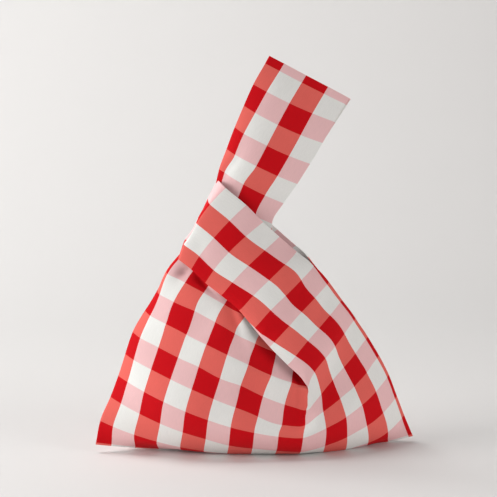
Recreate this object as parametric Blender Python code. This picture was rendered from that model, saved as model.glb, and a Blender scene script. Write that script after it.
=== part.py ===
"""Knot bag of gingham cloth: two panels, the short handle wrapped round the long one.

Each panel is one cut sheet. It has a wide body, a long handle on its left and a short
handle on its right, with a deep neckline between them. The panels meet at the bottom,
up both sides and across the ends of the handles. The short handle passes in front of
the long one, turns round its left edge and comes back behind it.

A place on the cloth is given in checks: "u" across from the left side, "up" from the
seam under the bag. A place in space is x to the right, y away from the front and z up.
"""
import math

import bmesh
import bpy

MM = 0.001
CHECK = 25.0 * MM           # one woven check, which the cut sizes are counted in
THICK = 1.5 * MM            # the doubled cloth
GAP = 0.3 * MM              # between the two panels where they are sewn
SEAM_LIFT = THICK / 2 + GAP / 2

LEFT_U = 0.35               # side edges of the flat panel
RIGHT_U = 14.1
NECK_U = 9.0                # middle line, which the neckline runs down to
SEAM_UP = -0.1              # bottom edge
NECK_UP = 5.8               # lowest point of the neckline
LONG_UP = 18.36             # end of the long handle
SHORT_UP = 15.0             # end of the short handle

LEFT_STEPS = 12             # faces across each half, and up each stretch
RIGHT_STEPS = 9
BODY_STEPS = 12
LONG_STEPS = 26
SHORT_STEPS = 19
ARC_STEPS = 24              # steps used to lay the cloth's width along its bulge
LEAST_RUN = 0.05            # least share of a step that still runs along the chord
LEAST_LIFT = 0.4            # mm that the cloth stays clear of the plane between the panels

ROLL_FROM = 0.84            # share of a section after which its neckline edge rolls under
BACK_STEP = 3.0             # mm that the back panel's long handle stands out at its right
BACK_STEP_FROM, BACK_STEP_TO = 14.8, 16.5

# The body, in mm: the side edges, the middle line and how far it swells forward.
# "belly" fills a section out near its side edge, "bow" lifts it off its straight line.
BODY_COLUMNS = ("up", "left_x", "left_z", "mid_x", "mid_y", "mid_z", "right_x", "right_z",
                "left_belly", "right_belly", "left_bow", "right_bow")
BODY = [
    (-0.1, -169, 9, 47, 0.5, -2, 169, 6, 0, 0, -4, -4),
    (1.0, -163.5, 34, 41, 25, -2, 158.5, 29, 16, 8, -11, -11),
    (2.0, -152.5, 59, 39.5, 49, 4.5, 150.5, 50.5, 16, 0, -11, -6),
    (3.0, -144, 81, 39.5, 61, 23.5, 142, 74, 16, -6, -10, -2),
    (5.0, -127.5, 127, 44, 52, 50.5, 119, 116, 16, -6, -4, 5),
    (5.8, -117, 145, 46.5, 54, 71.5, 108, 132.5, 16, -6, -4, 6),
]

# The handles, in mm: the outer edge, the neckline edge, and the bulge between them.
# "inner_u" is where the neckline is cut, "roll" how far that edge curls under.
HANDLE_COLUMNS = ("up", "edge_x", "edge_y", "edge_z", "inner_u", "inner_x", "inner_y",
                  "inner_z", "belly", "bow", "roll")
LONG_HANDLE = [
    (6.3, -111, 0.9, 155.5, 9.0, 45, 46, 82, 16, -4, 0),
    (7.0, -102.5, 0.9, 170, 8.9, 51, 39, 97, 17, -5, 0),
    (8.0, -92.5, 0.9, 190, 8.1, 45, 32, 118, 14, -4, 0),
    (9.0, -77, 0.9, 208, 6.9, 31, 26, 149, 10, -3, 0),
    (10.0, -60, 0.9, 229, 5.5, 21, 18, 185, 8, -2, 0),
    (11.0, -46, 0.9, 250, 4.6, 14, 14, 215, 8, -2, 0),
    (12.0, -37, 0.9, 273, 3.97, 15, 12, 240, 9, -2, 0),
    (13.0, -36, 2, 296, 3.96, 27, 12, 261, 10, -2, 0),
    (14.0, -30, 4, 317, 3.96, 41, 13, 281, 9, -2, 0),
    (15.5, -17, 7, 350.5, 3.96, 61, 12, 312, 5, -3, 0),
    (17.0, -3, 6, 383, 3.96, 80.5, 8, 344, 3, -2, 0),
    (18.36, 14, 0.9, 412, 3.96, 97, 0.9, 368, 0, 0, 0),
]
SHORT_HANDLE = [
    (6.3, 102, 0.9, 141.5, 9.35, 48, 58, 83, -6, 6, 0),
    (7.0, 91, 0.9, 156, 9.55, 25.5, 56, 99.5, -4, 6, 4),
    (8.4, 71, 2, 183, 9.8, 1.5, 50, 125, 0, 6, 5),
    (9.2, 58, 6, 198, 9.95, -10.5, 45, 140.5, 4, 5, 4),
    (10.0, 44, 10, 212, 10.1, -22, 40, 154.5, 7, 4, 4),
    (11.0, 25, 15, 229, 10.2, -40, 34, 169.5, 6, 4, 3),
    (12.0, 6, 18, 244, 10.3, -55.5, 28, 182.5, 4, 5, 2),
    (13.0, -12.5, 19, 261, 10.3, -69.5, 23, 196, 4, 4, 1),
    (14.0, -30, 18, 277, 10.3, -76, 17, 207, 3, 4, 0),
    (14.5, -39, 12, 283.5, 10.3, -79, 11, 209.5, 1, 2, 0),
    (15.0, -42, 0.4, 286, 10.3, -80, 0.4, 210, 0, 0, 0),
]

# Soft troughs pressed in by the knot: centre and half sizes in checks, heading in
# degrees from the weft, depth in mm.
FOLD_COLUMNS = ("u", "up", "heading", "half_length", "half_width", "depth")
FOLDS = [
    (1.9, 8.4, 75, 0.9, 0.35, 5.0),
    (3.6, 8.2, 60, 1.2, 0.40, 3.0),
    (8.3, 4.3, 100, 1.1, 0.45, 4.0),
    (12.3, 6.8, 70, 1.6, 0.50, 3.0),
]
TROUGH_FADE = 0.25          # share of a section over which the folds die out to its side edge

CLOTH_RED = (0.60, 0.02, 0.03, 1.0)
CLOTH_PINK = (0.72, 0.18, 0.16, 1.0)


def named(columns, row):
    return dict(zip(columns, row))


def half_rows(side):
    """All sections of one half of the panel, from the bottom seam to the handle's end."""
    handle, edge_u = (LONG_HANDLE, LEFT_U) if side == "left" else (SHORT_HANDLE, RIGHT_U)
    rows = []
    for values in BODY:
        body = named(BODY_COLUMNS, values)
        rows.append({
            "up": body["up"], "edge_x": body[side + "_x"], "edge_y": SEAM_LIFT / MM,
            "edge_z": body[side + "_z"], "inner_u": NECK_U, "inner_x": body["mid_x"],
            "inner_y": body["mid_y"], "inner_z": body["mid_z"],
            "belly": body[side + "_belly"], "bow": body[side + "_bow"], "roll": 0.0})
    rows += [named(HANDLE_COLUMNS, values) for values in handle]
    return rows, edge_u


def slopes(ups, values, at_neckline):
    """Slopes of a curve through the rows that never overshoots one.

    The neckline edge has the same slope in both halves at its lowest point, so that the
    middle line of the body is one line.
    """
    steps = [(values[i + 1] - values[i]) / (ups[i + 1] - ups[i]) for i in range(len(ups) - 1)]
    inside = [2 * a * b / (a + b) if a * b > 0 else 0.0 for a, b in zip(steps, steps[1:])]
    found = [steps[0]] + inside + [steps[-1]]
    if at_neckline:
        found[len(BODY) - 1] = steps[len(BODY) - 2]
    return found


class Half:
    """One half of a panel, which gives the draped place of any point of its cloth."""

    def __init__(self, side):
        rows, self.edge_u = half_rows(side)
        self.ups = [row["up"] for row in rows]
        self.columns = {}
        for name in HANDLE_COLUMNS[1:]:
            values = [row[name] for row in rows]
            self.columns[name] = (values, slopes(self.ups, values, name.startswith("inner")))

    def section(self, up):
        """Every column at one height, read from the smooth curves through the rows."""
        i = max(k for k in range(len(self.ups) - 1) if self.ups[k] <= up + 1e-9)
        span = self.ups[i + 1] - self.ups[i]
        t = (up - self.ups[i]) / span
        a, b = 2 * t ** 3 - 3 * t ** 2 + 1, t ** 3 - 2 * t ** 2 + t
        c, d = 3 * t ** 2 - 2 * t ** 3, t ** 3 - t ** 2
        return {name: a * v[i] + b * span * m[i] + c * v[i + 1] + d * span * m[i + 1]
                for name, (v, m) in self.columns.items()}

    def place(self, across, up, back):
        """The draped point: "across" runs from 0 at the side edge to 1 at the neckline."""
        row = self.section(up)
        u = self.edge_u + (row["inner_u"] - self.edge_u) * across
        width = abs(row["inner_u"] - self.edge_u) * CHECK / MM

        def lift(s):
            curve = row["edge_y"] + (row["inner_y"] - row["edge_y"]) * (1 - (1 - s) ** 2)
            curve += row["belly"] * math.sin(math.pi * s) * (1 - s)
            rolled = max(0.0, s - ROLL_FROM) / (1 - ROLL_FROM)
            return curve - row["roll"] * rolled ** 2

        run = [0.0]
        for k in range(ARC_STEPS):
            rise = (lift((k + 1) / ARC_STEPS) - lift(k / ARC_STEPS)) * ARC_STEPS / width
            run.append(run[-1] + math.sqrt(max(LEAST_RUN, 1 - rise * rise)))
        k = min(int(across * ARC_STEPS), ARC_STEPS - 1)
        t = (run[k] + (run[k + 1] - run[k]) * (across * ARC_STEPS - k)) / run[-1]

        chord_x, chord_z = row["inner_x"] - row["edge_x"], row["inner_z"] - row["edge_z"]
        length = math.hypot(chord_x, chord_z)
        bow = row["bow"] * 4 * t * (1 - t) * math.copysign(1.0, chord_x) / length
        x = row["edge_x"] + chord_x * t - chord_z * bow
        z = row["edge_z"] + chord_z * t + chord_x * bow
        y = lift(across) - trough(u, up) * min(1.0, across / TROUGH_FADE)
        if back and self.edge_u == LEFT_U:
            step = BACK_STEP * ease((up - BACK_STEP_FROM) / (BACK_STEP_TO - BACK_STEP_FROM)) * t
            x, z = x + chord_x / length * step, z + chord_z / length * step
        y = max(y, LEAST_LIFT)
        return x * MM, (y if back else -y) * MM, max(z * MM, THICK / 2)


def ease(t):
    t = min(1.0, max(0.0, t))
    return t * t * (3 - 2 * t)


def trough(u, up):
    """Depth in mm of the soft folds at one place on the cloth."""
    depth = 0.0
    for values in FOLDS:
        fold = named(FOLD_COLUMNS, values)
        turn = math.radians(fold["heading"])
        along = (u - fold["u"]) * math.cos(turn) + (up - fold["up"]) * math.sin(turn)
        aside = (up - fold["up"]) * math.cos(turn) - (u - fold["u"]) * math.sin(turn)
        far = (along / fold["half_length"]) ** 2 + (aside / fold["half_width"]) ** 2
        depth += fold["depth"] * math.exp(-far)
    return depth


def add_patch(sheet, half, back, columns, rows, low, high):
    """A grid of cloth between two heights of one half, put in its draped place."""
    grid = bmesh.ops.create_grid(sheet, x_segments=columns, y_segments=rows, size=0.5)
    for vert in grid["verts"]:
        across, share = vert.co.x + 0.5, vert.co.y + 0.5
        vert.co = half.place(across, low + (high - low) * share, back)


def cloth_material(name, colour):
    material = bpy.data.materials.new(name)
    material.use_nodes = True
    shader = material.node_tree.nodes["Principled BSDF"]
    shader.inputs["Base Color"].default_value = colour
    shader.inputs["Roughness"].default_value = 0.85
    shader.inputs["Metallic"].default_value = 0.0
    return material


def make_panel(name, back, colour):
    """One cut panel as a closed sheet of even thickness."""
    left, right = Half("left"), Half("right")
    sheet = bmesh.new()
    add_patch(sheet, left, back, LEFT_STEPS, BODY_STEPS, SEAM_UP, NECK_UP)
    add_patch(sheet, right, back, RIGHT_STEPS, BODY_STEPS, SEAM_UP, NECK_UP)
    add_patch(sheet, left, back, LEFT_STEPS, LONG_STEPS, NECK_UP, LONG_UP)
    add_patch(sheet, right, back, RIGHT_STEPS, SHORT_STEPS, NECK_UP, SHORT_UP)
    bmesh.ops.remove_doubles(sheet, verts=sheet.verts, dist=0.05 * MM)
    bmesh.ops.recalc_face_normals(sheet, faces=sheet.faces)
    mesh = bpy.data.meshes.new(name)
    sheet.to_mesh(mesh)
    sheet.free()
    mesh.materials.append(cloth_material(name + "_cloth", colour))
    mesh.shade_smooth()
    panel = bpy.data.objects.new(name, mesh)
    bpy.context.collection.objects.link(panel)
    thickness = panel.modifiers.new("thickness", "SOLIDIFY")
    thickness.thickness = THICK
    thickness.offset = 0.0
    return panel


for old in list(bpy.data.objects):
    bpy.data.objects.remove(old, do_unlink=True)

make_panel("front_panel", False, CLOTH_RED)
make_panel("back_panel", True, CLOTH_PINK)
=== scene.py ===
"""Knot bag of red and white gingham: the looks of its two sewn panels.

Each panel is one cut sheet with a long handle on its left and a short handle on its
right. A place on the cloth is given in checks: "u" across from the left side and "up"
from the seam under the bag. A place in space is x to the right, y away from the front
and z up.
"""
import bisect
import math

import bmesh
import bpy
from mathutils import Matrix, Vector, noise


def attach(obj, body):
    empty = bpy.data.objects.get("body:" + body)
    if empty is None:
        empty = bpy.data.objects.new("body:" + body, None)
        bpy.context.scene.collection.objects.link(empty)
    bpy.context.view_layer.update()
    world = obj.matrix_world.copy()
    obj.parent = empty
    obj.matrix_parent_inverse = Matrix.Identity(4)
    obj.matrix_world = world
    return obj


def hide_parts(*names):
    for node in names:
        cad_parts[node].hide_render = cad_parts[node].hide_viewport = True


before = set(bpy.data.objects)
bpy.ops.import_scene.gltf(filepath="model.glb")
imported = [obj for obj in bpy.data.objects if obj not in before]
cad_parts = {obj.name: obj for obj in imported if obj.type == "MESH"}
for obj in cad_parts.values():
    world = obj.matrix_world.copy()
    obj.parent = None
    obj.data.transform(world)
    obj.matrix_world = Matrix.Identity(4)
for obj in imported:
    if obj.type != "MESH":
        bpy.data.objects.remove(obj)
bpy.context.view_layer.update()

MM = 0.001
CHECK = 25.0 * MM              # one woven check
THICK = 1.3 * MM               # the doubled cloth
SEAM_GAP = 0.2 * MM            # between the two panels where they are sewn
SEAM_LIFT = (THICK + SEAM_GAP) / 2
EDGE_ROUNDING = 0.4 * MM
EDGE_SEGMENTS, SHARP_EDGE = 2, 50   # how finely a cut edge is rounded, and from what angle

# The cut of a panel, in checks
LEFT_U, RIGHT_U = 0.35, 14.2   # side edges
TAPER = 0.22                   # how far the side is cut in where the short handle begins
TAPER_FROM, TAPER_TO = 8.2, 9.6
SEAM_UP = -0.1                 # bottom edge
NECK_U, NECK_UP = 9.0, 5.8     # lowest point of the neckline
LONG_UP, SHORT_UP = 18.36, 15.0

# How finely the cloth is divided
LEFT_STEPS, RIGHT_STEPS = 72, 46
BODY_STEPS, LONG_STEPS, SHORT_STEPS = 60, 126, 92
ARC_STEPS = 48
LEAST_RUN = 0.05               # least share of a step that is left where the cloth is steepest
MERGE_DISTANCE = 0.02 * MM
TINY = 1e-9

ROLL_WIDTH = 0.45              # checks of cloth that roll under along the short handle's edge

# How the back panel lies off the front one: the amount, the heights in checks at which it
# begins and ends, and the checks over which it comes in and fades out.
OFFSET_COLUMNS = ("amount", "begins", "comes_in", "ends", "fades_out")
BACK_OFFSETS = {
    "long_handle_aside": (2.0, 12.0, 1.5, LONG_UP, 1.2),   # mm to the right
    "short_handle_above": (4.6, 8.6, 1.2, 13.2, 1.2),      # mm that its outer edge stands above
    "short_handle_turn": (5.0, 12.8, 0.9, SHORT_UP, 0.6),  # mm that its turn lies to the right
    "short_handle_flat": (0.16, 8.6, 1.4, 13.2, 1.6),      # share of its width that lies flat
}
BACK_STEP = 2.5                # mm that the back's long handle stands out at its right
BACK_STEP_FROM, BACK_STEP_TO = 14.8, 16.5

# The body, in mm: the side edges, the middle line and how far it swells forward.
# "belly" fills a section out near its side edge, "bow" lifts it off its straight line,
# "crowd" draws the cloth together at its side edge.
BODY_COLUMNS = ("up", "left_x", "left_z", "mid_x", "mid_y", "mid_z", "right_x", "right_z",
                "left_belly", "right_belly", "left_bow", "right_bow", "left_crowd")
BODY = [
    (-0.1, -169, 9, 47, 0.5, -2, 169, 6, 0, 0, -4, -4, 0.0),
    (1.0, -163.5, 34, 41, 25, -2, 158.5, 29, 16, 8, -11, -11, 0.10),
    (2.0, -152.5, 59, 39.5, 49, 4.5, 150.5, 50.5, 16, 0, -11, -6, 0.12),
    (3.0, -144, 81, 39.5, 61, 23.5, 142, 74, 16, -6, -10, -2, 0.14),
    (5.0, -127.5, 127, 44, 52, 50.5, 119, 116, 16, -6, -4, 5, 0.20),
    (5.8, -117, 145, 46.5, 54, 71.5, 108, 132.5, 16, -6, -4, 6, 0.28),
]

# The handles, in mm: the outer edge, the neckline edge, and the bulge between them.
# "inner_u" is where the neckline is cut, "roll" how far that edge curls under.
HANDLE_COLUMNS = ("up", "edge_x", "edge_y", "edge_z", "inner_u", "inner_x", "inner_y",
                  "inner_z", "belly", "bow", "roll", "crowd")
LONG_HANDLE = [
    (6.3, -110, 0.9, 155.5, 9.0, 47.5, 46, 82, 16, -4, 0, 0.36),
    (7.0, -101, 0.9, 170, 8.9, 51, 39, 97, 17, -5, 0, 0.50),
    (8.0, -90, 0.9, 190, 8.1, 45, 32, 118, 14, -4, 0, 0.72),
    (9.0, -77, 0.9, 208, 6.9, 31, 26, 149, 10, -3, 0, 0.92),
    (10.0, -60, 0.9, 229, 5.5, 21, 18, 185, 8, -2, 0, 0.94),
    (11.0, -46, 0.9, 250, 4.6, 14, 14, 215, 8, -2, 0, 0.94),
    (12.0, -43, 0.9, 273, 3.97, 15, 12, 240, 9, -2, 0, 0.94),
    (13.0, -38, 1, 296, 3.96, 27, 12, 261, 12, -2, 0, 0.90),
    (14.0, -30, 1.5, 317, 3.96, 41, 13, 281, 12, -2, 0, 0.35),
    (15.5, -17, 2.5, 350.5, 3.96, 61, 12, 312, 9, -3, 0, 0.25),
    (17.0, -3, 2, 383, 3.96, 80.5, 8, 344, 6, -2, 0, 0.10),
    (18.36, 14, 0.9, 412, 3.96, 97, 0.9, 368, 0, 0, 0, 0.0),
]
SHORT_HANDLE = [
    (6.3, 102, 0.9, 141.5, 9.13, 42, 58, 83, -6, 6, 4, 0.0),
    (7.0, 91, 0.9, 156, 9.38, 25.5, 56, 99.5, -4, 6, 5, -0.1),
    (8.4, 71, 2, 183, 9.8, 1.5, 50, 125, 0, 6, 5, -0.25),
    (9.2, 57.5, 3, 197, 9.98, -10.5, 45, 140.5, 4, 5, 5, -0.25),
    (10.0, 42.5, 5, 209.5, 10.1, -22, 40, 154.5, 7, 4, 5, -0.2),
    (11.0, 23.5, 11, 226.5, 10.2, -40, 34, 169.5, 6, 4, 4, 0.0),
    (12.0, 5.5, 17, 243, 10.3, -55.5, 28, 182.5, 4, 5, 2, 0.0),
    (13.0, -12.5, 19, 261, 10.3, -69.5, 23, 196, 4, 4, 1, 0.0),
    (14.0, -33.5, 17, 278.5, 10.3, -80, 15, 207, 3, 6, 0, 0.0),
    (14.5, -38, 11, 283, 10.3, -78, 9, 209, 1, 3, 0, 0.0),
    (15.0, -39.5, 0.4, 284.5, 10.3, -72, 0.4, 211, 0, 2, 0, 0.0),
]

# Places where the cloth is pulled aside: their middle and reach in checks, the pull in mm.
PULL_COLUMNS = ("u", "up", "reach_across", "reach_up", "x", "z")
PULLS = [
    # the body's left side
    (1.0, 5.5, 0.7, 1.4, -3.0, 0.0),
    (1.0, 7.9, 0.6, 1.4, -6.5, 1.0),
    (2.0, 6.8, 0.6, 1.0, -4.5, 1.5),
    (3.0, 7.3, 0.5, 0.7, -1.2, 1.5),
    (3.5, 3.5, 2.4, 2.2, 0.3, 2.0),
    (3.8, 7.3, 1.4, 1.0, 1.0, 3.0),
    (4.0, 5.0, 0.6, 0.6, 0.0, 1.5),
    # its middle
    (6.0, 5.0, 0.6, 0.6, -1.0, 2.5),
    (6.5, 3.2, 1.6, 1.6, -1.5, 0.0),
    (7.5, 3.9, 0.8, 0.5, 0.0, -1.2),
    (7.5, 6.3, 1.0, 0.8, 4.5, -4.5),
    (7.8, 1.6, 2.2, 0.9, 0.0, 1.8),
    (7.8, 4.0, 0.8, 0.7, 0.5, -4.0),
    (8.7, 4.1, 0.6, 0.5, 2.5, -2.5),
    (9.0, 5.0, 0.5, 0.4, 2.0, -2.5),
    (9.2, 3.6, 0.6, 0.8, 1.5, 0.0),
    # its right side
    (10.0, 5.0, 0.6, 0.5, 3.0, 0.0),
    (10.0, 6.1, 0.6, 0.45, -3.5, 0.0),
    (10.5, 3.5, 1.0, 1.4, 2.0, -1.5),
    (10.8, 4.5, 1.0, 1.0, 2.0, 0.0),
    (11.0, 8.0, 0.5, 0.6, 2.2, 0.0),
    (11.9, 4.1, 0.5, 0.5, 1.2, -0.8),
    (12.0, 1.8, 1.6, 0.9, 1.5, 1.2),
    (12.3, 5.0, 1.4, 3.6, 0.0, -4.5),
    (12.8, 0.8, 1.2, 1.2, 3.0, 0.5),
    (12.9, 4.2, 0.7, 0.8, 2.5, 0.0),
    # the short handle
    (10.1, 14.5, 0.6, 0.9, -3.0, -2.0),
    (11.0, 13.9, 0.45, 0.6, -2.5, 0.5),
    (11.2, 12.2, 0.9, 1.6, -1.6, -0.8),
    (11.3, 14.5, 0.6, 0.8, 1.0, -4.0),
    (12.0, 9.0, 0.9, 1.2, -1.0, -2.0),
    (13.0, 11.0, 1.3, 2.2, -1.6, -1.2),
    # the long handle
    (1.0, 14.8, 0.6, 1.2, -2.0, 0.0),
]

# Creases and soft troughs: the middle and half length in checks, heading in degrees from
# the weft, half width on the low and on the high side in checks, depth in mm (minus for
# a ridge).
FOLD_COLUMNS = ("u", "up", "heading", "half_length", "low_width", "high_width", "depth")
LEFT_FOLDS = [
    (1.7, 8.4, 68, 0.38, 0.24, 0.22, 3.8),       # dimple under the knot
    (2.6, 8.55, -22, 0.80, 0.22, 0.10, 2.6),     # tuck beside it
    (2.7, 8.85, -20, 0.85, 0.16, 0.30, -1.6),    # the cloth swelling over that tuck
    (4.95, 7.35, -48, 0.85, 0.42, 0.14, 3.4),    # second tuck, under the short handle
    (4.9, 7.85, -42, 0.90, 0.20, 0.34, -1.8),
    (3.4, 6.6, 78, 1.7, 0.55, 0.55, 1.5),        # soft troughs down the body
    (6.6, 5.4, 100, 1.9, 0.60, 0.60, 1.6),
    (8.55, 5.2, 97, 1.3, 0.42, 0.30, 3.2),       # beside the lowest point of the neckline
    (5.1, 2.6, 84, 1.8, 0.80, 0.80, 1.2),        # wide hollow low down
    (7.6, 1.9, 1, 2.2, 0.07, 0.12, 0.8),         # fold line above the bottom edge
    (1.15, 13.5, 88, 0.9, 0.22, 0.35, 1.5),      # edge of the long handle turned back
    (2.6, 15.2, 84, 2.2, 0.50, 0.50, 0.8),       # soft troughs along the long handle
    (1.7, 17.5, 94, 1.0, 0.35, 0.35, 0.6),
]
RIGHT_FOLDS = [
    (12.7, 7.3, 12, 1.3, 0.40, 0.40, 1.8),       # soft troughs in from the right side
    (12.5, 8.6, 18, 1.4, 0.35, 0.35, 1.3),
    (11.9, 5.6, 10, 1.6, 0.50, 0.50, 1.4),
    (13.2, 3.9, 20, 1.0, 0.45, 0.45, 1.3),
    (10.3, 4.0, 88, 1.5, 0.40, 0.40, 1.3),       # beside the neckline
    (12.0, 11.0, 84, 2.6, 0.35, 0.35, 0.8),      # along the short handle
    (11.3, 13.2, 60, 0.9, 0.30, 0.30, 0.8),      # where it turns
    (13.3, 13.6, -60, 0.8, 0.30, 0.30, 0.8),
    (11.5, 1.8, 100, 1.2, 0.60, 0.60, 1.2),      # wide hollow low down
]

# Places that are eased until no line shows
EASED_COLUMNS = ("low_u", "high_u", "low_up", "high_up", "passes")
EASED = [
    (8.1, 9.9, 0.1, 5.3, 6),       # where the two halves of the body meet
    (8.5, 9.5, 0.1, 5.2, 8),
    (9.25, 13.7, 4.3, 8.6, 40),    # where the short handle turns off
]
HOLD_ACROSS, HOLD_UP = 0.6, 0.8    # checks beside a sewn edge over which the folds fade out
RIPPLE = 0.7 * MM                  # slight unevenness all over
RIPPLE_SIZE = 38.0 * MM
RIPPLE_OTHER = 7.0                 # keeps the back's unevenness apart from the front's

# Camera
AZIMUTH, ELEVATION = -8.0, 9.0
CAMERA_DISTANCE = 2.0
CAMERA_AIM = Vector((-0.0073, 0.0034, 0.2120))
CAMERA_VIEW = 0.5177           # height of the view at the aim
CAMERA_NEAR, CAMERA_FAR = 0.05, 50.0
SENSOR = 36.0

# Lights: the direction each comes from, in degrees round from the front and up, its power
# in watts and its colour
SOFTBOX_SIZE, SOFTBOX_DISTANCE = 1.2, 2.2
SOFTBOX_AIM = Vector((0.0, 0.0, 0.18))
SOFTBOXES = [
    ("high_left", -115, 65, 32.0, (1.0, 0.993, 0.985)),
    ("low_left", -80, 8, 43.0, (1.0, 0.993, 0.985)),
    ("low_right", 52, 8, 25.0, (1.0, 0.96, 0.95)),
]
ROOM_COLOUR, ROOM_LIGHT = (1.0, 0.985, 0.97, 1.0), 0.18

# The paper that the bag stands on, in metres
PAPER_COLOUR = (0.735, 0.728, 0.720, 1.0)
PAPER_ROUGHNESS, PAPER_GLOSS = 0.9, 0.15
PAPER_HALF, PAPER_STEPS = 4.0, 60
FLOOR_BACK, SWEEP_RADIUS = 0.7, 0.8

# Dyed threads, named warp first
RED_ON_RED = (0.595, 0.002, 0.007, 1.0)
RED_ON_WHITE = (0.800, 0.141, 0.117, 1.0)
WHITE_ON_RED = (0.845, 0.530, 0.536, 1.0)
WHITE_ON_WHITE = (0.825, 0.825, 0.800, 1.0)

# Weave
THREADS = 48.0                 # threads in one check
TWILL_REPEAT = 4.0             # threads, of which the weft passes over one
THREAD_SHADE = 0.10            # painted shade: how much darker the cloth is between threads
THREAD_HEIGHT, THREAD_STRENGTH = 0.12 * MM, 0.35
SLUB_SCALE, SLUB_DETAIL = 9.0, 3.0
SLUB_STRETCH = (3.0, 0.35, 1.0)
SLUB_FROM, SLUB_TO = 0.3, 0.7  # the part of the noise that shows
SLUB_DARKEST = 0.955
PUCKER_SCALE, PUCKER_DETAIL = 42.0, 4.0
PUCKER_HEIGHT, PUCKER_STRENGTH = 0.6 * MM, 0.5
CLOTH_ROUGHNESS = (0.72, 0.88)
CLOTH_SHEEN, CLOTH_SHEEN_ROUGHNESS = 0.02, 0.5
CLOTH_GLOSS = 0.10


def named(columns, row):
    return dict(zip(columns, row))


def ease(t):
    t = min(1.0, max(0.0, t))
    return t * t * (3 - 2 * t)


def crowded(share, crowd):
    """A share of the width, drawn towards the side edge where the cloth is crowded."""
    return share * (1 - crowd * (1 - share) ** 3)


def back_offset(name, up):
    """One of the back panel's offsets: its amount, and from 0 to 1 how much there is here."""
    row = named(OFFSET_COLUMNS, BACK_OFFSETS[name])
    come = ease((up - row["begins"]) / row["comes_in"])
    return row["amount"], come * ease((row["ends"] - up) / row["fades_out"])


def pulled(u, up, x, z):
    """A point in mm after the pulls have moved it."""
    for values in PULLS:
        pull = named(PULL_COLUMNS, values)
        share = math.exp(-((u - pull["u"]) / pull["reach_across"]) ** 2
                         - ((up - pull["up"]) / pull["reach_up"]) ** 2)
        x, z = x + pull["x"] * share, z + pull["z"] * share
    return x, z


def half_rows(side):
    """All sections of one half of the panel, from the bottom seam to the handle's end."""
    rows = []
    for values in BODY:
        body = named(BODY_COLUMNS, values)
        rows.append({
            "up": body["up"], "edge_x": body[side + "_x"], "edge_y": SEAM_LIFT / MM,
            "edge_z": body[side + "_z"], "inner_u": NECK_U, "inner_x": body["mid_x"],
            "inner_y": body["mid_y"], "inner_z": body["mid_z"],
            "belly": body[side + "_belly"], "bow": body[side + "_bow"], "roll": 0.0,
            "crowd": body["left_crowd"] if side == "left" else 0.0})
    handle = LONG_HANDLE if side == "left" else SHORT_HANDLE
    return rows + [named(HANDLE_COLUMNS, values) for values in handle]


def slopes(ups, values, at_neckline):
    """Slopes of a curve through the rows that never overshoots one."""
    steps = [(values[i + 1] - values[i]) / (ups[i + 1] - ups[i]) for i in range(len(ups) - 1)]
    inside = [2 * a * b / (a + b) if a * b > 0 else 0.0 for a, b in zip(steps, steps[1:])]
    found = [steps[0]] + inside + [steps[-1]]
    if at_neckline:
        last = len(BODY) - 1           # the neckline opens here, and may turn off sharply
        found[last] = steps[last - 1]
    return found


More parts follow.
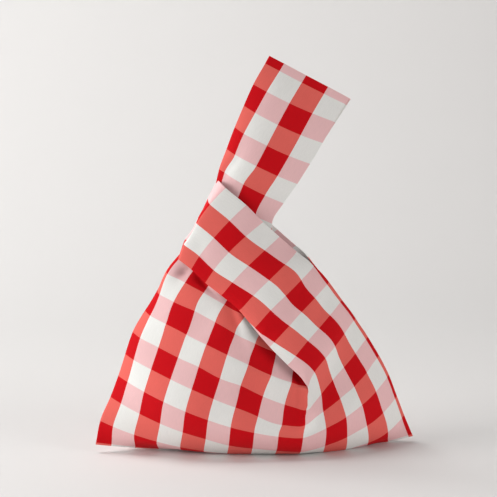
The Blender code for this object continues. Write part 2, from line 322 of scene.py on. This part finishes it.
class Half:
    """One half of a panel, which gives the draped place of any point of its cloth."""

    def __init__(self, side):
        rows = half_rows(side)
        self.left = side == "left"
        self.ups = [row["up"] for row in rows]
        self.columns = {}
        self.laid = {}
        for name in HANDLE_COLUMNS[1:]:
            values = [row[name] for row in rows]
            self.columns[name] = (values, slopes(self.ups, values, name.startswith("inner")))

    def edge_u(self, up):
        """Where the side edge is cut."""
        if self.left:
            return LEFT_U
        return RIGHT_U - TAPER * ease((up - TAPER_FROM) / (TAPER_TO - TAPER_FROM))

    def section(self, up):
        """Every column at one height, read from the smooth curves through the rows."""
        i = bisect.bisect_right(self.ups, up + TINY, hi=len(self.ups) - 1) - 1
        span = self.ups[i + 1] - self.ups[i]
        t = (up - self.ups[i]) / span
        a, b = 2 * t ** 3 - 3 * t ** 2 + 1, t ** 3 - 2 * t ** 2 + t
        c, d = 3 * t ** 2 - 2 * t ** 3, t ** 3 - t ** 2
        row = {name: a * v[i] + b * span * m[i] + c * v[i + 1] + d * span * m[i + 1]
               for name, (v, m) in self.columns.items()}
        row["edge_u"] = self.edge_u(up)
        return row

    def lift(self, row, s):
        """How far forward the cloth lies at a share s of its width from the side edge."""
        width = abs(row["inner_u"] - row["edge_u"])
        curve = row["edge_y"] + (row["inner_y"] - row["edge_y"]) * (1 - (1 - s) ** 2)
        curve += row["belly"] * math.sin(math.pi * s) * (1 - s)
        rolled = max(0.0, 1 - (1 - s) * width / ROLL_WIDTH)
        return curve - row["roll"] * rolled ** 2

    def lay(self, up):
        """The section at one height, with the cloth's width laid along its bulge."""
        key = round(up, 5)
        if key not in self.laid:
            row = self.section(up)
            width = abs(row["inner_u"] - row["edge_u"]) * CHECK / MM
            lifts = [self.lift(row, k / ARC_STEPS) for k in range(ARC_STEPS + 1)]
            run = [0.0]
            for low, high in zip(lifts, lifts[1:]):
                rise = (high - low) * ARC_STEPS / width
                run.append(run[-1] + math.sqrt(max(LEAST_RUN, 1 - rise * rise)))
            self.laid[key] = (row, [step / run[-1] for step in run])
        return self.laid[key]

    def back_step(self, up, t):
        """How far the back panel lies off the front one, away from its side edge, in mm."""
        if self.left:
            amount, share = back_offset("long_handle_aside", up)
            step = BACK_STEP * ease((up - BACK_STEP_FROM) / (BACK_STEP_TO - BACK_STEP_FROM))
            return amount * share + step * t
        amount, share = back_offset("short_handle_above", up)
        return -amount * share * (1 - t)

    def turn_aside(self, up):
        """How far to the right the back's short handle turns round the long one, in mm."""
        if self.left:
            return 0.0
        amount, share = back_offset("short_handle_turn", up)
        return amount * share

    def flattened(self, up, t):
        """The share across whose depth the back's cloth takes, so that its edge lies flat."""
        if self.left:
            return t
        amount, share = back_offset("short_handle_flat", up)
        return t + max(0.0, amount - t) * share

    def place(self, across, up, back):
        """The draped point: "across" runs from 0 at the side edge to 1 at the neckline."""
        row, run = self.lay(up)
        k = min(int(across * ARC_STEPS), ARC_STEPS - 1)
        t = run[k] + (run[k + 1] - run[k]) * (across * ARC_STEPS - k)
        t = crowded(t, row["crowd"])
        chord_x, chord_z = row["inner_x"] - row["edge_x"], row["inner_z"] - row["edge_z"]
        length = math.hypot(chord_x, chord_z)
        bow = row["bow"] * 4 * t * (1 - t) * math.copysign(1.0, chord_x) / length
        x = row["edge_x"] + chord_x * t - chord_z * bow
        z = row["edge_z"] + chord_z * t + chord_x * bow
        lifted = crowded(across, row["crowd"])
        if back:
            step = self.back_step(up, t)
            x, z = x + chord_x / length * step, z + chord_z / length * step
            x += self.turn_aside(up)
            lifted = self.flattened(up, lifted)
        y = self.lift(row, lifted)
        u = row["edge_u"] + (row["inner_u"] - row["edge_u"]) * across
        x, z = pulled(u, up, x, z)
        return Vector((x * MM, (y if back else -y) * MM, max(z * MM, THICK / 2)))


def fold_depth(folds, u, up):
    """Depth in mm of the creases and troughs at one place on the cloth."""
    depth = 0.0
    for values in folds:
        fold = named(FOLD_COLUMNS, values)
        turn = math.radians(fold["heading"])
        along = (u - fold["u"]) * math.cos(turn) + (up - fold["up"]) * math.sin(turn)
        aside = (up - fold["up"]) * math.cos(turn) - (u - fold["u"]) * math.sin(turn)
        width = fold["low_width"] if aside < 0 else fold["high_width"]
        depth += fold["depth"] * math.exp(-(along / fold["half_length"]) ** 2
                                          - (aside / width) ** 2)
    return depth


def add_patch(sheet, half, back, columns, rows, low, high):
    """A grid of cloth between two heights of one half, put in its draped place."""
    cut = sheet.verts.layers.float_vector["cut"]
    grid = bmesh.ops.create_grid(sheet, x_segments=columns, y_segments=rows, size=0.5)
    for vert in grid["verts"]:
        across, up = vert.co.x + 0.5, low + (high - low) * (vert.co.y + 0.5)
        row = half.lay(up)[0]
        u = row["edge_u"] + (row["inner_u"] - row["edge_u"]) * across
        vert[cut] = (u, up, float(half.left))
        vert.co = half.place(across, up, back)


def ease_places(sheet):
    """Rounds the cloth where the two halves meet and where the short handle turns off."""
    cut = sheet.verts.layers.float_vector["cut"]
    for values in EASED:
        area = named(EASED_COLUMNS, values)
        inside = [vert for vert in sheet.verts if not vert.is_boundary
                  and area["low_u"] < vert[cut][0] < area["high_u"]
                  and area["low_up"] < vert[cut][1] < area["high_up"]]
        for _ in range(area["passes"]):
            bmesh.ops.smooth_vert(sheet, verts=inside, factor=0.5, use_axis_x=True,
                                  use_axis_y=True, use_axis_z=True)


def press_folds(sheet, back):
    """Pushes the creases and the slight unevenness in along the cloth's own normals."""
    cut = sheet.verts.layers.float_vector["cut"]
    sheet.normal_update()
    outward = sum(face.normal.y for face in sheet.faces)
    if (outward > 0) != back:
        bmesh.ops.reverse_faces(sheet, faces=sheet.faces)
    sheet.normal_update()
    moves = []
    for vert in sheet.verts:
        u, up, left = vert[cut]
        folds = LEFT_FOLDS if left > 0.5 else RIGHT_FOLDS
        edge = LEFT_U if left > 0.5 else RIGHT_U
        hold = ease(abs(u - edge) / HOLD_ACROSS) * ease((up - SEAM_UP) / HOLD_UP)
        spot = vert.co / RIPPLE_SIZE + Vector((0.0, RIPPLE_OTHER if back else 0.0, 0.0))
        push = noise.noise(spot) * RIPPLE - fold_depth(folds, u, up) * MM
        moves.append(vert.normal * push * hold)
    for vert, move in zip(sheet.verts, moves):
        vert.co += move
        vert.co.z = max(vert.co.z, THICK / 2)


def store_cut(sheet):
    """Keeps each point's place on the flat cloth as its UV, for the woven pattern."""
    cut = sheet.verts.layers.float_vector["cut"]
    checks = sheet.loops.layers.uv.new("checks")
    for face in sheet.faces:
        for loop in face.loops:
            u, up, _ = loop.vert[cut]
            loop[checks].uv = (u, up)


def sewn_sheet(back):
    """The whole panel as one draped sheet without thickness."""
    left, right = Half("left"), Half("right")
    sheet = bmesh.new()
    sheet.verts.layers.float_vector.new("cut")
    add_patch(sheet, left, back, LEFT_STEPS, BODY_STEPS, SEAM_UP, NECK_UP)
    add_patch(sheet, right, back, RIGHT_STEPS, BODY_STEPS, SEAM_UP, NECK_UP)
    add_patch(sheet, left, back, LEFT_STEPS, LONG_STEPS, NECK_UP, LONG_UP)
    add_patch(sheet, right, back, RIGHT_STEPS, SHORT_STEPS, NECK_UP, SHORT_UP)
    bmesh.ops.remove_doubles(sheet, verts=sheet.verts, dist=MERGE_DISTANCE)
    bmesh.ops.recalc_face_normals(sheet, faces=sheet.faces)
    return sheet


def make_panel(name, back, material):
    sheet = sewn_sheet(back)
    ease_places(sheet)
    press_folds(sheet, back)
    store_cut(sheet)
    mesh = bpy.data.meshes.new(name)
    sheet.to_mesh(mesh)
    sheet.free()
    mesh.materials.append(material)
    mesh.shade_smooth()
    panel = bpy.data.objects.new(name, mesh)
    bpy.context.collection.objects.link(panel)
    thickness = panel.modifiers.new("thickness", "SOLIDIFY")
    thickness.thickness = THICK
    thickness.offset = 0.0
    rounded = panel.modifiers.new("rounded edges", "BEVEL")
    rounded.width = EDGE_ROUNDING
    rounded.segments = EDGE_SEGMENTS
    rounded.limit_method = "ANGLE"
    rounded.angle_limit = math.radians(SHARP_EDGE)
    return panel


# Materials

def math_node(nodes, links, kind, *values):
    """A Math node, with each input linked or set to a number."""
    node = nodes.new("ShaderNodeMath")
    node.operation = kind
    for socket, value in zip(node.inputs, values):
        if isinstance(value, (int, float)):
            socket.default_value = value
        else:
            links.new(value, socket)
    return node.outputs[0]


def colour_mix(nodes, links, factor, a, b, blend="MIX"):
    node = nodes.new("ShaderNodeMix")
    node.data_type = "RGBA"
    node.blend_type = blend
    for name, value in (("Factor", factor), ("A", a), ("B", b)):
        socket = [s for s in node.inputs if s.name == name and s.enabled][0]
        if isinstance(value, (int, float, tuple)):
            socket.default_value = value
        else:
            links.new(value, socket)
    return [s for s in node.outputs if s.enabled][0]


def shaded(nodes, links, colour, share):
    """A colour made darker by a share that changes over the cloth."""
    grey = nodes.new("ShaderNodeCombineColor")
    for name in ("Red", "Green", "Blue"):
        links.new(share, grey.inputs[name])
    return colour_mix(nodes, links, 1.0, colour, grey.outputs["Color"], "MULTIPLY")


def noise_node(nodes, links, place, scale, detail):
    node = nodes.new("ShaderNodeTexNoise")
    node.inputs["Scale"].default_value = scale
    node.inputs["Detail"].default_value = detail
    links.new(place, node.inputs["Vector"])
    return node.outputs["Fac"]


def bump(nodes, links, height, strength, distance):
    node = nodes.new("ShaderNodeBump")
    node.inputs["Strength"].default_value = strength
    node.inputs["Distance"].default_value = distance
    links.new(height, node.inputs["Height"])
    return node


def between(nodes, links, value, low, high, from_low=0.0, from_high=1.0):
    """A value brought from one range to another."""
    node = nodes.new("ShaderNodeMapRange")
    node.inputs["From Min"].default_value = from_low
    node.inputs["From Max"].default_value = from_high
    node.inputs["To Min"].default_value = low
    node.inputs["To Max"].default_value = high
    links.new(value, node.inputs["Value"])
    return node.outputs["Result"]


def twill_group():
    """Warp-faced twill: the height of the thread on top, from a place in checks."""
    group = bpy.data.node_groups.new("warp_faced_twill", "ShaderNodeTree")
    group.interface.new_socket("Place", in_out="INPUT", socket_type="NodeSocketVector")
    group.interface.new_socket("Threads", in_out="INPUT", socket_type="NodeSocketFloat")
    group.interface.new_socket("Height", in_out="OUTPUT", socket_type="NodeSocketFloat")
    nodes, links = group.nodes, group.links
    start, end = nodes.new("NodeGroupInput"), nodes.new("NodeGroupOutput")
    split = nodes.new("ShaderNodeSeparateXYZ")
    links.new(start.outputs["Place"], split.inputs[0])
    warp = math_node(nodes, links, "MULTIPLY", split.outputs["X"], start.outputs["Threads"])
    weft = math_node(nodes, links, "MULTIPLY", split.outputs["Y"], start.outputs["Threads"])
    step = math_node(nodes, links, "ADD", math_node(nodes, links, "FLOOR", warp),
                     math_node(nodes, links, "FLOOR", weft))
    turn = math_node(nodes, links, "FLOORED_MODULO", step, TWILL_REPEAT)
    height = nodes.new("ShaderNodeMix")
    links.new(math_node(nodes, links, "LESS_THAN", turn, 0.5), height.inputs["Factor"])
    links.new(math_node(nodes, links, "PINGPONG", warp, 0.5), height.inputs["A"])
    links.new(math_node(nodes, links, "PINGPONG", weft, 0.5), height.inputs["B"])
    links.new(height.outputs["Result"], end.inputs["Height"])
    return group


def dyed_checks(nodes, links, place):
    """The four colours that red and white threads make where they cross."""
    split = nodes.new("ShaderNodeSeparateXYZ")
    links.new(place, split.inputs[0])
    is_red = {}
    for threads, axis in (("warp", "X"), ("weft", "Y")):
        which = math_node(nodes, links, "FLOOR", split.outputs[axis])
        turn = math_node(nodes, links, "FLOORED_MODULO", which, 2.0)
        is_red[threads] = math_node(nodes, links, "LESS_THAN", turn, 0.5)
    on_white_warp = colour_mix(nodes, links, is_red["weft"], WHITE_ON_WHITE, WHITE_ON_RED)
    on_red_warp = colour_mix(nodes, links, is_red["weft"], RED_ON_WHITE, RED_ON_RED)
    return colour_mix(nodes, links, is_red["warp"], on_white_warp, on_red_warp)


def gingham_material(twill):
    material = bpy.data.materials.new("gingham_cloth")
    material.use_nodes = True
    nodes, links = material.node_tree.nodes, material.node_tree.links
    shader = nodes["Principled BSDF"]
    uv_map = nodes.new("ShaderNodeUVMap")
    uv_map.uv_map = "checks"
    place = uv_map.outputs["UV"]
    weave = nodes.new("ShaderNodeGroup")
    weave.node_tree = twill
    weave.inputs["Threads"].default_value = THREADS
    links.new(place, weave.inputs["Place"])
    stretch = nodes.new("ShaderNodeMapping")
    stretch.inputs["Scale"].default_value = SLUB_STRETCH
    links.new(place, stretch.inputs["Vector"])
    slub = noise_node(nodes, links, stretch.outputs["Vector"], SLUB_SCALE, SLUB_DETAIL)

    # painted shade: each thread's colour darkens towards its edges, where it meets the next
    # thread
    thread_light = math_node(nodes, links, "MULTIPLY_ADD", weave.outputs["Height"],
                             THREAD_SHADE * 2, 1.0 - THREAD_SHADE)
    woven = shaded(nodes, links, dyed_checks(nodes, links, place), thread_light)
    slub_light = between(nodes, links, slub, SLUB_DARKEST, 1.0, SLUB_FROM, SLUB_TO)
    links.new(shaded(nodes, links, woven, slub_light), shader.inputs["Base Color"])

    spot = nodes.new("ShaderNodeTexCoord").outputs["Object"]
    pucker = noise_node(nodes, links, spot, PUCKER_SCALE, PUCKER_DETAIL)
    puckers = bump(nodes, links, pucker, PUCKER_STRENGTH, PUCKER_HEIGHT)
    threads = bump(nodes, links, weave.outputs["Height"], THREAD_STRENGTH, THREAD_HEIGHT)
    links.new(puckers.outputs["Normal"], threads.inputs["Normal"])
    links.new(threads.outputs["Normal"], shader.inputs["Normal"])

    links.new(between(nodes, links, slub, *CLOTH_ROUGHNESS), shader.inputs["Roughness"])
    shader.inputs["Sheen Weight"].default_value = CLOTH_SHEEN
    shader.inputs["Sheen Roughness"].default_value = CLOTH_SHEEN_ROUGHNESS
    shader.inputs["Specular IOR Level"].default_value = CLOTH_GLOSS
    return material


# Stage

def direction(azimuth, elevation):
    """Towards a place seen from the middle, in degrees round from the front and up."""
    turn, rise = math.radians(azimuth), math.radians(elevation)
    return Vector((math.sin(turn) * math.cos(rise), -math.cos(turn) * math.cos(rise),
                   math.sin(rise)))


def paper_material():
    """Pale paper, left clear from behind so that the bag's back can be looked at."""
    material = bpy.data.materials.new("pale_paper")
    material.use_nodes = True
    nodes, links = material.node_tree.nodes, material.node_tree.links
    shader = nodes["Principled BSDF"]
    shader.inputs["Base Color"].default_value = PAPER_COLOUR
    shader.inputs["Roughness"].default_value = PAPER_ROUGHNESS
    shader.inputs["Specular IOR Level"].default_value = PAPER_GLOSS
    side = nodes.new("ShaderNodeNewGeometry")
    clear = nodes.new("ShaderNodeBsdfTransparent")
    seen = nodes.new("ShaderNodeMixShader")
    links.new(side.outputs["Backfacing"], seen.inputs["Fac"])
    links.new(shader.outputs["BSDF"], seen.inputs[1])
    links.new(clear.outputs["BSDF"], seen.inputs[2])
    links.new(seen.outputs["Shader"], nodes["Material Output"].inputs["Surface"])
    return material


def make_stage():
    """A pale sheet that runs back along the floor and sweeps up behind."""
    paper = bmesh.new()
    grid = bmesh.ops.create_grid(paper, x_segments=2, y_segments=PAPER_STEPS, size=PAPER_HALF)
    for vert in grid["verts"]:
        run = vert.co.y - FLOOR_BACK
        if run > 0:
            turn = min(run / SWEEP_RADIUS, math.pi / 2)
            beyond = max(0.0, run - SWEEP_RADIUS * math.pi / 2)
            vert.co.y = FLOOR_BACK + SWEEP_RADIUS * math.sin(turn)
            vert.co.z = SWEEP_RADIUS * (1 - math.cos(turn)) + beyond
    mesh = bpy.data.meshes.new("studio_paper")
    paper.to_mesh(mesh)
    paper.free()
    mesh.materials.append(paper_material())
    mesh.shade_smooth()
    stage = bpy.data.objects.new("studio_paper", mesh)
    bpy.context.collection.objects.link(stage)


def make_lights():
    for name, azimuth, elevation, power, colour in SOFTBOXES:
        lamp = bpy.data.lights.new(name, "AREA")
        lamp.shape = "SQUARE"
        lamp.size = SOFTBOX_SIZE
        lamp.energy = power
        lamp.color = colour
        away = direction(azimuth, elevation)
        box = bpy.data.objects.new(name, lamp)
        box.location = SOFTBOX_AIM + away * SOFTBOX_DISTANCE
        box.rotation_euler = (-away).to_track_quat("-Z", "Y").to_euler()
        box.visible_camera = False
        bpy.context.collection.objects.link(box)
    room = bpy.data.worlds.new("studio")
    room.use_nodes = True
    walls = room.node_tree.nodes["Background"]
    walls.inputs["Color"].default_value = ROOM_COLOUR
    walls.inputs["Strength"].default_value = ROOM_LIGHT
    bpy.context.scene.world = room
    bpy.context.scene.view_settings.view_transform = "Standard"


def make_camera():
    lens = bpy.data.cameras.new("camera")
    lens.sensor_width = SENSOR
    lens.lens = SENSOR * CAMERA_DISTANCE / CAMERA_VIEW
    lens.clip_start, lens.clip_end = CAMERA_NEAR, CAMERA_FAR
    camera = bpy.data.objects.new("camera", lens)
    camera.location = CAMERA_AIM + direction(AZIMUTH, ELEVATION) * CAMERA_DISTANCE
    camera.rotation_euler = (math.radians(90 - ELEVATION), 0.0, math.radians(AZIMUTH))
    bpy.context.collection.objects.link(camera)
    bpy.context.scene.camera = camera


gingham = gingham_material(twill_group())
front = make_panel("front_panel_cloth", False, gingham)
back = make_panel("back_panel_cloth", True, gingham)
for piece, node, other in ((front, "front_panel", back), (back, "back_panel", front)):
    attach(piece, "root")
    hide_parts(node)

make_stage()
make_lights()
make_camera()
